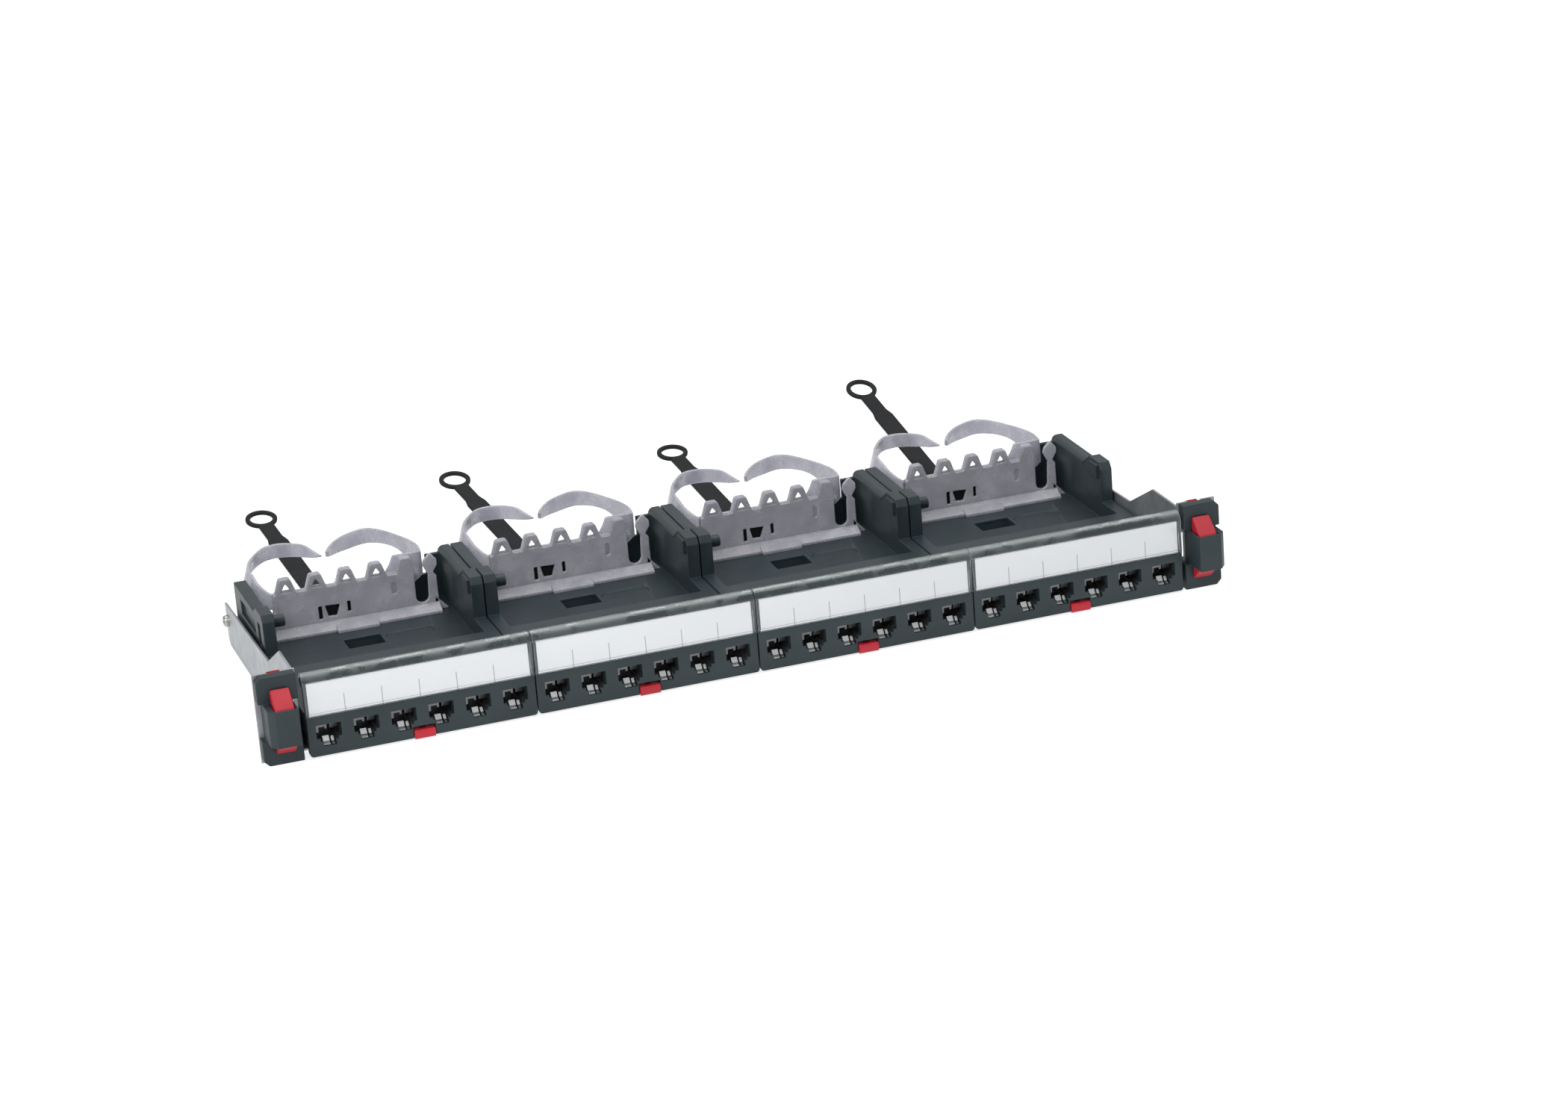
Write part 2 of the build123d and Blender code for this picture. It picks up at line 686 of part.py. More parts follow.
def mirrored_x(shape):
    """The same piece for the other end."""
    return mirror(shape, about=Plane.YZ)


def mirrored_z(shape):
    """The same piece turned upside down."""
    return mirror(shape, about=Plane.XY)


parts = {"chassis": make_chassis()}
cap = make_cap()
parts["end_cap_right"] = cap
parts["end_cap_left"] = mirrored_x(cap)
latch = make_latch()
parts["latch_right_upper"] = latch
parts["latch_right_lower"] = mirrored_z(latch)
parts["latch_left_upper"] = mirrored_x(latch)
parts["latch_left_lower"] = mirrored_z(mirrored_x(latch))
parts["earth_screw"] = make_screw()
parts["earth_nut"] = make_nut()

drawer_pieces = {
    "tray": make_tray(),
    "fascia": make_fascia(),
    "label_cover": make_cover(),
    "label_card": make_card(),
    "jack_shells": make_jack_shells(),
    "jack_inserts": make_jack_inserts(),
    "release_tab": make_release_tab(),
    "cable_comb": make_comb(),
}
for k in range(module_count):
    place = Pos(module_left(k), 0, 0)
    for name, piece in drawer_pieces.items():
        parts[f"{name}_{k + 1}"] = place * piece
    parts[f"cable_strap_{k + 1}"] = place * make_strap(strap_rise[k], strap_swing[k])

for name, piece in parts.items():
    export_step(piece, f"parts/{name}.step")
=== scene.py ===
import bmesh
import bpy
import math
from mathutils import Matrix, Vector


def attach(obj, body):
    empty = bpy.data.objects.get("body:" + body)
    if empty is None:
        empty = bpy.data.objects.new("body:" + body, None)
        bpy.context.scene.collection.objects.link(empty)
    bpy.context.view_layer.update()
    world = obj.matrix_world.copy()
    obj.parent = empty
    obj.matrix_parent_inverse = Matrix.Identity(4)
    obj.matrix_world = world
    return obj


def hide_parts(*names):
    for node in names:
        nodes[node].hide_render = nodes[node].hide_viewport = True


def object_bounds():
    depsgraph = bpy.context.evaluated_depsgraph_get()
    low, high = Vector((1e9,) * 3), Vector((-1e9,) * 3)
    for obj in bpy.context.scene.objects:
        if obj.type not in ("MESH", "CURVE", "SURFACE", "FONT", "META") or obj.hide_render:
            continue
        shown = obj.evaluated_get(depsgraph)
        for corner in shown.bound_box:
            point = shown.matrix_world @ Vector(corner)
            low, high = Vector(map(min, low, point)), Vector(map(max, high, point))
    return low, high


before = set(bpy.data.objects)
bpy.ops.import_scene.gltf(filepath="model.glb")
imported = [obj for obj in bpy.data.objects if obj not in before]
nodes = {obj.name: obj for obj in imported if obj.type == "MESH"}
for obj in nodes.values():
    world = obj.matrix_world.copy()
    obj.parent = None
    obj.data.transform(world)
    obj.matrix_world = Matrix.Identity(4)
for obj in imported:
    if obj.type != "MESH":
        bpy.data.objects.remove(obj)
cad_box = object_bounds()

# CHASSIS
# One sheet of zinc-coated steel, folded up at both sides and out into the two rack ears.
# The sheet is matt and faintly clouded; its cut edges are lightly broken.


def new_object(name, data):
    """A new object in the scene, at the origin."""
    made = bpy.data.objects.new(name, data)
    bpy.context.scene.collection.objects.link(made)
    return made


def evaluated_mesh(draft):
    """The plain mesh that a draft object makes with its modifiers; the draft is removed."""
    graph = bpy.context.evaluated_depsgraph_get()
    mesh = bpy.data.meshes.new_from_object(draft.evaluated_get(graph))
    bpy.data.objects.remove(draft)
    return mesh


def principled(name):
    """A new material with its node tree and shader."""
    material = bpy.data.materials.new(name)
    material.use_nodes = True
    tree = material.node_tree
    shader = tree.nodes["Principled BSDF"]
    return material, tree, shader


def add_node(tree, kind, **settings):
    """A node with its plain settings made."""
    node = tree.nodes.new(kind)
    for key, value in settings.items():
        setattr(node, key, value)
    return node


def feed(tree, socket, value):
    """Links an input to another node's output, or gives it a plain value."""
    if isinstance(value, bpy.types.NodeSocket):
        tree.links.new(value, socket)
    else:
        socket.default_value = value


def object_coordinates(tree):
    """The piece's own coordinates, in metres."""
    return add_node(tree, "ShaderNodeTexCoord").outputs["Object"]


def object_noise(tree, scale, detail=3.0, roughness=0.5, stretch=(1, 1, 1)):
    """Noise between 0 and 1 on the piece's own coordinates."""
    mapping = add_node(tree, "ShaderNodeMapping")
    feed(tree, mapping.inputs["Vector"], object_coordinates(tree))
    feed(tree, mapping.inputs["Scale"], stretch)
    noise = add_node(tree, "ShaderNodeTexNoise")
    feed(tree, noise.inputs["Vector"], mapping.outputs["Vector"])
    feed(tree, noise.inputs["Scale"], scale)
    feed(tree, noise.inputs["Detail"], detail)
    feed(tree, noise.inputs["Roughness"], roughness)
    return noise.outputs["Fac"]


def ramp_between(tree, source, low, high, start=0.35, end=0.65):
    """A colour that runs from low to high as the source rises from start to end."""
    ramp = add_node(tree, "ShaderNodeValToRGB")
    first, last = ramp.color_ramp.elements
    first.position = start
    first.color = (*low, 1)
    last.position = end
    last.color = (*high, 1)
    feed(tree, ramp.inputs["Fac"], source)
    return ramp.outputs["Color"]


def spread(tree, source, low, high, start=0.0, end=1.0):
    """A number that runs from low to high as the source rises from start to end."""
    spread_node = add_node(tree, "ShaderNodeMapRange")
    feed(tree, spread_node.inputs["Value"], source)
    feed(tree, spread_node.inputs["From Min"], start)
    feed(tree, spread_node.inputs["From Max"], end)
    feed(tree, spread_node.inputs["To Min"], low)
    feed(tree, spread_node.inputs["To Max"], high)
    return spread_node.outputs["Result"]


def mixed(tree, kind, factor, first, second):
    """A blend of two numbers or colours: the first where the factor is 0, the second where it is 1."""
    blend = add_node(tree, "ShaderNodeMix", data_type=kind)
    feed(tree, blend.inputs["Factor"], factor)
    feed(tree, blend.inputs["A"], first)
    feed(tree, blend.inputs["B"], second)
    return blend.outputs["Result"]


def bump_from(tree, shader, source, strength, distance):
    """Relief on the shader from a source."""
    bump = add_node(tree, "ShaderNodeBump")
    feed(tree, bump.inputs["Strength"], strength)
    feed(tree, bump.inputs["Distance"], distance)
    feed(tree, bump.inputs["Height"], source)
    feed(tree, shader.inputs["Normal"], bump.outputs["Normal"])


def sheet_metal(name, dark, pale, roughness, metallic):
    """Zinc-coated or plated metal with soft crystals and a slight grain."""
    material, tree, shader = principled(name)
    crystals = add_node(tree, "ShaderNodeTexVoronoi")
    feed(tree, crystals.inputs["Vector"], object_coordinates(tree))
    feed(tree, crystals.inputs["Scale"], 140)
    clouds = object_noise(tree, 45, detail=4.0)
    pattern = mixed(tree, "FLOAT", 0.3, clouds, crystals.outputs["Distance"])
    feed(tree, shader.inputs["Base Color"], ramp_between(tree, pattern, dark, pale, 0.25, 0.7))
    feed(tree, shader.inputs["Roughness"], spread(tree, clouds, roughness - 0.08, roughness + 0.1))
    feed(tree, shader.inputs["Metallic"], metallic)
    grain = object_noise(tree, 2200, detail=2.0, stretch=(1, 0.12, 1))
    bump_from(tree, shader, grain, strength=0.12, distance=0.0001)
    return material


def flat_regions(work, limit):
    """Groups of touching faces that lie in one plane, not crossed by a seam."""
    seen = set()
    for face in work.faces:
        if face.index in seen:
            continue
        region = []
        waiting = [face]
        seen.add(face.index)
        while waiting:
            current = waiting.pop()
            region.append(current)
            for edge in current.edges:
                for other in edge.link_faces:
                    in_plane = other.normal.dot(face.normal) > limit
                    if in_plane and other.index not in seen and not edge.seam:
                        seen.add(other.index)
                        waiting.append(other)
        yield region


def extent(loop):
    """The length, width and height of a loop of corners, added up."""
    return sum(max(corner[i] for corner in loop) - min(corner[i] for corner in loop) for i in range(3))


def smallest_hole(region):
    """The corners of the smallest hole through a flat region, or nothing where it has none."""
    inside = set(region)
    rim = {}
    for face in region:
        for edge in face.edges:
            if sum(other in inside for other in edge.link_faces) == 1:
                for vert in edge.verts:
                    rim.setdefault(vert, []).append(edge)
    loops = []
    seen = set()
    for start in rim:
        if start in seen:
            continue
        loop = []
        waiting = [start]
        seen.add(start)
        while waiting:
            vert = waiting.pop()
            loop.append(vert.co)
            for edge in rim[vert]:
                far = edge.other_vert(vert)
                if far not in seen:
                    seen.add(far)
                    waiting.append(far)
        loops.append(loop)
    if len(loops) < 2:
        return None
    return min(loops, key=extent)


def seam_through_holes(work, limit):
    """Cuts flat faces through the middle of each hole, so that no face has a hole in it."""
    found = True
    while found:
        found = False
        work.faces.index_update()
        work.normal_update()
        for region in list(flat_regions(work, limit)):
            hole = smallest_hole(region) if len(region) > 3 else None
            if hole is None:
                continue
            normal = region[0].normal
            across = Vector((1, 0, 0)) if abs(normal.x) < 0.7 else Vector((0, 1, 0))
            across = (across - normal * across.dot(normal)).normalized()
            reach = [corner.dot(across) for corner in hole]
            middle = across * (min(reach) + max(reach)) / 2
            parts = dict.fromkeys(item for face in region for item in (face, *face.edges, *face.verts))
            cut = bmesh.ops.bisect_plane(work, geom=list(parts), dist=1e-7,
                                         plane_no=across, plane_co=middle)
            for item in cut["geom_cut"]:
                if isinstance(item, bmesh.types.BMEdge):
                    item.seam = True
            found = True
            break


def eased_copy(node_name, width, segments=2):
    """A copy of a CAD node with its corners rounded as a tool leaves them."""
    flat = math.radians(0.8)
    sharp = math.radians(32)
    mesh = nodes[node_name].data.copy()
    mesh.materials.clear()
    work = bmesh.new()
    work.from_mesh(mesh)
    bmesh.ops.remove_doubles(work, verts=work.verts, dist=2e-6)
    seam_through_holes(work, math.cos(flat))
    bmesh.ops.dissolve_limit(work, angle_limit=flat, verts=work.verts, edges=work.edges, delimit={"SEAM"})
    for edge in work.edges:
        edge.seam = False
    work.to_mesh(mesh)
    work.free()
    mesh.shade_smooth()
    mesh.set_sharp_from_angle(angle=sharp)
    draft = new_object(node_name + "_draft", mesh)
    easing = draft.modifiers.new("eased", "BEVEL")
    easing.width = width
    easing.segments = segments
    easing.limit_method = "ANGLE"
    easing.angle_limit = sharp
    easing.use_clamp_overlap = False
    easing.miter_outer = "MITER_ARC"
    easing.harden_normals = True
    return new_object(node_name + "_finish", evaluated_mesh(draft))


def paint(piece, material):
    """Puts one material on a piece in place of any that it had."""
    piece.data.materials.clear()
    piece.data.materials.append(material)


def dress(piece, material, body, slot, *replaced):
    """Gives a piece its material and body, and hides the nodes it stands for; the slot is not used."""
    paint(piece, material)
    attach(piece, body)
    if replaced:
        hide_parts(*replaced)


zinc = sheet_metal("zinc_coated_sheet", (0.33, 0.35, 0.37), (0.5, 0.52, 0.54),
                   roughness=0.45, metallic=0.75)
chassis = eased_copy("chassis", width=0.00025)
dress(chassis, zinc, "rack_frame", "zinc_steel", "chassis")

# END CAPS
# Moulded in dark blue-grey plastic with a fine spark-eroded grain, snapped on the ears.
# Each has an upper and a lower block and a hollow pad that stands out between them.


def moulded_plastic(name, colour, roughness, grain=0.10, specular=0.4):
    """Plain moulded plastic: one colour, a fine grain and slightly uneven gloss."""
    material, tree, shader = principled(name)
    low = [0.88 * channel for channel in colour]
    high = [1.12 * channel for channel in colour]
    feed(tree, shader.inputs["Base Color"], ramp_between(tree, object_noise(tree, 28), low, high))
    gloss = spread(tree, object_noise(tree, 160), roughness - 0.07, roughness + 0.07)
    feed(tree, shader.inputs["Roughness"], gloss)
    feed(tree, shader.inputs["Specular IOR Level"], specular)
    bump_from(tree, shader, object_noise(tree, 2600, detail=2.0), strength=grain, distance=0.00012)
    return material


cap_plastic = moulded_plastic("cap_plastic", (0.022, 0.035, 0.041), roughness=0.5)
for side in ("left", "right"):
    name = f"end_cap_{side}"
    dress(eased_copy(name, width=0.0005, segments=3), cap_plastic, "rack_frame", "cap_plastic", name)

# SNAP LATCHES
# Four red moulded latches, two to a cap, that slide towards each other between finger and thumb.
# A ramp shows before the cap; a stem behind it carries the hook for the rack rail.

red_plastic = moulded_plastic("red_plastic", (0.47, 0.012, 0.028),
                              roughness=0.36, grain=0.06, specular=0.5)
for side in ("left", "right"):
    for level in ("upper", "lower"):
        name = f"latch_{side}_{level}"
        latch = eased_copy(name, width=0.0009, segments=4)
        dress(latch, red_plastic, f"{name}_body", "red_plastic", name)

# EARTH SCREW
# A plated cross-recessed screw through the left side plate, with its hexagon nut inside.
# Both are bright steel with a slight grain.

plated = sheet_metal("plated_steel", (0.42, 0.42, 0.4), (0.62, 0.62, 0.6), roughness=0.32, metallic=1.0)
for name in ("earth_screw", "earth_nut"):
    dress(eased_copy(name, width=0.00012), plated, "rack_frame", "plated_steel", name)

# DRAWER TRAYS
# Four equal trays moulded in dark glass-filled plastic, side by side on the chassis floor.
# A closed housing covers the sockets, a low deck and two tall walls guide the cables behind.

drawers = (1, 2, 3, 4)
tray_plastic = moulded_plastic("tray_plastic", (0.024, 0.037, 0.043), roughness=0.42)
for drawer in drawers:
    name = f"tray_{drawer}"
    dress(eased_copy(name, width=0.0004), tray_plastic, f"drawer_{drawer}", "dark_plastic", name)

# TRAY POCKET AND REAR LIP
# The deck's pocket is a blind box, dark inside, and a low lip stands behind the comb's open slot.
# Both are moulded in one with the tray, and drawn in millimetres from the drawer's left edge.

mm = 0.001
drawer_pitch = 0.110
pocket_left, pocket_right = 44.0, 62.0
pocket_front, pocket_back = 91.5, 104.5
pocket_floor, deck_under = -17.0, -10.6
pocket_wall = 0.8


def drawer_middle(drawer):
    """X of a drawer's middle, in metres."""
    return (drawer - 2.5) * drawer_pitch


def placed_copy(name, mesh, drawer):
    """An object with a mesh drawn from a drawer's left edge, put at that drawer."""
    own = mesh.copy()
    own.transform(Matrix.Translation((drawer_middle(drawer) - drawer_pitch / 2, 0, 0)))
    return new_object(name, own)


def add_block(work, across, along, upright):
    """Adds a box that fills a range of X, of Y and of Z."""
    low, high = (Vector(corner) for corner in zip(across, along, upright))
    made = bmesh.ops.create_cube(work, size=1)
    bmesh.ops.scale(work, vec=high - low, verts=made["verts"])
    bmesh.ops.translate(work, vec=(low + high) / 2, verts=made["verts"])


def mesh_in_metres(name, work):
    """Closes a draft drawn in millimetres and returns its mesh in metres."""
    bmesh.ops.scale(work, vec=(mm, mm, mm), verts=work.verts)
    mesh = bpy.data.meshes.new(name)
    work.to_mesh(mesh)
    work.free()
    return mesh


pocket_across = (pocket_left, pocket_right)
pocket_along = (pocket_front, pocket_back)
pocket_upright = (pocket_floor, deck_under)
work = bmesh.new()
add_block(work, pocket_across, pocket_along, (pocket_floor, pocket_floor + pocket_wall))
add_block(work, (pocket_left - pocket_wall, pocket_left), pocket_along, pocket_upright)
add_block(work, (pocket_right, pocket_right + pocket_wall), pocket_along, pocket_upright)
add_block(work, pocket_across, (pocket_back, pocket_back + pocket_wall), pocket_upright)
add_block(work, pocket_across, (pocket_front - pocket_wall, pocket_front), pocket_upright)
# the lip, rooted just inside the deck
add_block(work, across=(87.5, 97.5), along=(140.1, 142.5), upright=(-9.2, 4.0))
pocket_mesh = mesh_in_metres("tray_pocket", work)
for drawer in drawers:
    pocket = placed_copy(f"tray_pocket_{drawer}", pocket_mesh, drawer)
    dress(pocket, tray_plastic, f"drawer_{drawer}", "dark_plastic")

# SOCKET SHELLS
# Six die-cast, nickel-plated shells in a row behind each front, open towards the plug.
# Thin sprung leaves bend round the upper corners of each opening, and two slope up in its notch.

port_pitch = 0.0179
port_count = 6
leaf_thickness = 0.3
die_cast = sheet_metal("die_cast_shell", (0.40, 0.41, 0.42), (0.62, 0.63, 0.64),
                       roughness=0.34, metallic=1.0)
for drawer in drawers:
    paint(nodes[f"jack_shells_{drawer}"], die_cast)


def number_node(tree, operation, *values):
    """The result of a sum on links or plain numbers."""
    node = add_node(tree, "ShaderNodeMath", operation=operation)
    for socket, value in zip(node.inputs, values):
        feed(tree, socket, value)
    return node.outputs[0]


def object_axes(tree):
    """X, Y and Z of the piece's own coordinates."""
    axes = add_node(tree, "ShaderNodeSeparateXYZ")
    feed(tree, axes.inputs["Vector"], object_coordinates(tree))
    return axes.outputs


def new_tree(name, inputs):
    """A geometry tree with named inputs, each (name, kind, value), a finish and one geometry output."""
    tree = bpy.data.node_groups.new(name, "GeometryNodeTree")
    tree.interface.new_socket("Geometry", in_out="INPUT", socket_type="NodeSocketGeometry")
    for label, kind, value in inputs:
        tree.interface.new_socket(label, in_out="INPUT", socket_type=kind).default_value = value
    tree.interface.new_socket("Finish", in_out="INPUT", socket_type="NodeSocketMaterial")
    tree.interface.new_socket("Geometry", in_out="OUTPUT", socket_type="NodeSocketGeometry")
    return tree, add_node(tree, "NodeGroupInput")


def row_of(tree, given, geometry, count, pitch):
    """Instances of a geometry in a straight row along X, centred on its own place."""
    gaps = number_node(tree, "SUBTRACT", given.outputs[count], 1.0)
    length = number_node(tree, "MULTIPLY", gaps, given.outputs[pitch])
    step = add_node(tree, "ShaderNodeCombineXYZ")
    feed(tree, step.inputs["X"], given.outputs[pitch])
    start = add_node(tree, "ShaderNodeCombineXYZ")
    feed(tree, start.inputs["X"], number_node(tree, "MULTIPLY", length, -0.5))
    line = add_node(tree, "GeometryNodeMeshLine", mode="OFFSET")
    feed(tree, line.inputs["Count"], given.outputs[count])
    feed(tree, line.inputs["Start Location"], start.outputs["Vector"])
    feed(tree, line.inputs["Offset"], step.outputs["Vector"])
    instances = add_node(tree, "GeometryNodeInstanceOnPoints")
    feed(tree, instances.inputs["Points"], line.outputs["Mesh"])
    feed(tree, instances.inputs["Instance"], geometry)
    return instances.outputs["Instances"]


def close_tree(tree, given, instances):
    """Makes the instances real, gives them the finish and sends them out of the tree."""
    realize = add_node(tree, "GeometryNodeRealizeInstances")
    finish = add_node(tree, "GeometryNodeSetMaterial")
    result = add_node(tree, "NodeGroupOutput")
    feed(tree, realize.inputs["Geometry"], instances)
    feed(tree, finish.inputs["Geometry"], realize.outputs["Geometry"])
    feed(tree, finish.inputs["Material"], given.outputs["Finish"])
    feed(tree, result.inputs["Geometry"], finish.outputs["Geometry"])


def grown_piece(name, tree, material, start_mesh, drawer):
    """Runs a geometry tree on a mesh and returns the plain result at its drawer."""
    draft = new_object(name + "_draft", start_mesh)
    grow = draft.modifiers.new("grow", "NODES")
    grow.node_group = tree
    for item in tree.interface.items_tree:
        if item.name == "Finish":
            grow[item.identifier] = material
    mesh = evaluated_mesh(draft)
    mesh.transform(Matrix.Translation((drawer_middle(drawer), 0, 0)))
    return new_object(name, mesh)


def skin_rings(work, rings):
    """Joins rings of corners with faces and closes both ends."""
    for near, far in zip(rings, rings[1:]):
        for i in range(len(near)):
            j = (i + 1) % len(near)
            work.faces.new((near[i], near[j], far[j], far[i]))
    work.faces.new(rings[0][::-1])
    work.faces.new(rings[-1])


def folded_leaf(work, middle, width, outline):
    """One sprung leaf of sheet: a bent line in Y and Z, given a width along X and a thickness."""
    rings = []
    for i, (y, z) in enumerate(outline):
        before = Vector(outline[max(i - 1, 0)])
        after = Vector(outline[min(i + 1, len(outline) - 1)])
        along = (after - before).normalized()
        side = Vector((-along.y, along.x)) * leaf_thickness / 2
        corners = ((-1, -1), (1, -1), (1, 1), (-1, 1))
        rings.append([work.verts.new((middle + wide * width / 2, y + deep * side.x, z + deep * side.y))
                      for wide, deep in corners])
    skin_rings(work, rings)


work = bmesh.new()
# upper left: a leaf bent round the opening's corner, with a short one beside it
folded_leaf(work, -3.5, 4.3, [(-6.6, -5.8), (-6.4, -7.2)])
folded_leaf(work, -5.1, 1.1, [(-6.6, -5.8), (-6.0, -9.8)])
folded_leaf(work, -1.0, 1.0, [(-6.4, -6.0), (-5.6, -8.6)])
# upper right: a broad leaf set further back
folded_leaf(work, 3.1, 3.6, [(-4.0, -6.2), (-3.0, -9.6)])
# in the notch: a wide and a narrow leaf that slope up and inwards
folded_leaf(work, -1.3, 3.0, [(-7.8, -16.0), (-6.0, -14.8), (-4.4, -12.6)])
folded_leaf(work, 1.7, 1.3, [(-7.8, -16.0), (-6.0, -15.0), (-4.4, -13.2)])
bmesh.ops.recalc_face_normals(work, faces=work.faces)
leaf_mesh = mesh_in_metres("leaves_one_port", work)

leaf_tree, given = new_tree("leaves_in_a_row", [("Port Count", "NodeSocketInt", port_count),
                                                ("Port Pitch", "NodeSocketFloat", port_pitch)])
leaf_row = row_of(leaf_tree, given, given.outputs["Geometry"], "Port Count", "Port Pitch")
close_tree(leaf_tree, given, leaf_row)

bright_spring = sheet_metal("bright_spring_sheet", (0.62, 0.63, 0.64), (0.78, 0.79, 0.80),
                            roughness=0.3, metallic=1.0)
# painted shade: the leaves under the opening's roof are painted darker than those in the notch, where the
# light reaches
notch_top = -0.011
tree = bright_spring.node_tree
shader = tree.nodes["Principled BSDF"]
polished = shader.inputs["Base Color"].links[0].from_socket
above_notch = number_node(tree, "GREATER_THAN", object_axes(tree)["Z"], notch_top)
painted_leaf_shade = mixed(tree, "RGBA", above_notch, polished, (0.17, 0.175, 0.18, 1))
feed(tree, shader.inputs["Base Color"], painted_leaf_shade)
for drawer in drawers:
    leaves = grown_piece(f"shield_leaves_{drawer}", leaf_tree, bright_spring, leaf_mesh, drawer)
    dress(leaves, bright_spring, f"drawer_{drawer}", "die_cast")

# FASCIAS
# The drawer's moulded front in slate plastic: six stepped plug openings below, a recess for the
# card above and, along the top, the round bar on which the clear cover turns.

slate_plastic = moulded_plastic("slate_plastic", (0.024, 0.037, 0.042), roughness=0.45)
for drawer in drawers:
    name = f"fascia_{drawer}"
    dress(eased_copy(name, width=0.0002), slate_plastic, f"drawer_{drawer}", "slate_plastic", name)

# LABEL CARDS
# A strip of white card in the recess of each front.
# It is printed with five short grey lines, which part the six sockets' fields.

line_half_width = 0.00022
line_top = 0.0078
last_line = 2.4 * port_pitch
card_white, tree, shader = principled("card_white")
feed(tree, shader.inputs["Roughness"], 0.7)
axes = object_axes(tree)
within_drawer = number_node(tree, "WRAP", axes["X"], drawer_pitch, 0.0)
from_middle = number_node(tree, "SUBTRACT", within_drawer, drawer_pitch / 2)
from_line = number_node(tree, "PINGPONG", from_middle, port_pitch / 2)
on_line = number_node(tree, "LESS_THAN", from_line, line_half_width)
below_top = number_node(tree, "LESS_THAN", axes["Z"], line_top)
off_ends = number_node(tree, "LESS_THAN", number_node(tree, "ABSOLUTE", from_middle), last_line)
printed = number_node(tree, "MULTIPLY", number_node(tree, "MULTIPLY", on_line, below_top), off_ends)
feed(tree, shader.inputs["Base Color"],
     mixed(tree, "RGBA", printed, (0.64, 0.65, 0.67, 1), (0.28, 0.29, 0.31, 1)))
fibres = object_noise(tree, 1500, detail=4.0)
bump_from(tree, shader, fibres, strength=0.08, distance=0.00008)
for drawer in drawers:
    paint(nodes[f"label_card_{drawer}"], card_white)

# LABEL COVERS
# A clear moulded strip over each card, with a raised rim, whose top curls over the hinge bar.
# It is clear over the card and unevenly matt on the curl, whose colour is darkened to grey-green as
# painted shade.

curl_start, curl_end = 0.0148, 0.0162
clear_plastic, tree, shader = principled("clear_plastic")
feed(tree, shader.inputs["Transmission Weight"], 1.0)
feed(tree, shader.inputs["IOR"], 1.49)
on_the_curl = spread(tree, object_axes(tree)["Z"], 0.0, 1.0, curl_start, curl_end)
# painted shade: the curl's colour is darkened to grey-green
curl_painted_shade = mixed(tree, "RGBA", on_the_curl, (0.99, 1.0, 1.0, 1), (0.50, 0.55, 0.55, 1))
feed(tree, shader.inputs["Base Color"], curl_painted_shade)
haze = object_noise(tree, 75, roughness=0.6)
patches = ramp_between(tree, haze, (0.05, 0.05, 0.05), (0.5, 0.5, 0.5), 0.42, 0.52)
feed(tree, shader.inputs["Roughness"], mixed(tree, "FLOAT", on_the_curl, 0.05, patches))
flow = object_noise(tree, 60, detail=2.0, roughness=0.4, stretch=(0.35, 1, 1))
bump_from(tree, shader, flow, strength=0.15, distance=0.0002)
# light falls through to the card, as it does through thin clear plastic
path = add_node(tree, "ShaderNodeLightPath")
letting = add_node(tree, "ShaderNodeBsdfTransparent")
through = add_node(tree, "ShaderNodeMixShader")
feed(tree, through.inputs["Fac"], path.outputs["Is Shadow Ray"])
feed(tree, through.inputs[1], shader.outputs["BSDF"])
feed(tree, through.inputs[2], letting.outputs["BSDF"])
feed(tree, tree.nodes["Material Output"].inputs["Surface"], through.outputs["Shader"])
for drawer in drawers:
    name = f"label_cover_{drawer}"
    dress(eased_copy(name, width=0.0002), clear_plastic, f"cover_{drawer}", "clear_plastic", name)

# RELEASE TABS
# A small red tab under the middle of each front.
# Lifting it frees the drawer.

for drawer in drawers:
    name = f"release_tab_{drawer}"
    tab = eased_copy(name, width=0.00035, segments=3)
    dress(tab, red_plastic, f"tab_{drawer}", "red_plastic", name)

# CONTACT CARRIERS
# Black inserts deep in the shells.
# Each has eight gilt spring wires slanting up to the plug.

wire_count = 8
wire_pitch = 0.00102
wire_radius = 0.00016
carrier_plastic = moulded_plastic("carrier_plastic", (0.012, 0.012, 0.013), roughness=0.5)
for drawer in drawers:
    paint(nodes[f"jack_inserts_{drawer}"], carrier_plastic)

wire_tree, given = new_tree("contact_wires", [("Port Count", "NodeSocketInt", port_count),
                                              ("Port Pitch", "NodeSocketFloat", port_pitch),
                                              ("Wire Count", "NodeSocketInt", wire_count),
                                              ("Wire Pitch", "NodeSocketFloat", wire_pitch),
                                              ("Wire Radius", "NodeSocketFloat", wire_radius)])
bow = add_node(wire_tree, "GeometryNodeCurvePrimitiveBezierSegment")
feed(wire_tree, bow.inputs["Resolution"], 10)
feed(wire_tree, bow.inputs["Start"], (0, 0.0002, -0.0066))
feed(wire_tree, bow.inputs["Start Handle"], (0, 0.0012, -0.0098))
feed(wire_tree, bow.inputs["End Handle"], (0, 0.0050, -0.0104))
feed(wire_tree, bow.inputs["End"], (0, 0.0094, -0.0076))
section = add_node(wire_tree, "GeometryNodeCurvePrimitiveCircle")
feed(wire_tree, section.inputs["Resolution"], 8)
feed(wire_tree, section.inputs["Radius"], given.outputs["Wire Radius"])
wire = add_node(wire_tree, "GeometryNodeCurveToMesh")
feed(wire_tree, wire.inputs["Curve"], bow.outputs["Curve"])
feed(wire_tree, wire.inputs["Profile Curve"], section.outputs["Curve"])
feed(wire_tree, wire.inputs["Fill Caps"], True)
one_port = row_of(wire_tree, given, wire.outputs["Mesh"], "Wire Count", "Wire Pitch")
close_tree(wire_tree, given, row_of(wire_tree, given, one_port, "Port Count", "Port Pitch"))
no_mesh = bpy.data.meshes.new("empty")
gilt = sheet_metal("gilt_wire", (0.70, 0.50, 0.20), (0.86, 0.64, 0.28), roughness=0.25, metallic=1.0)
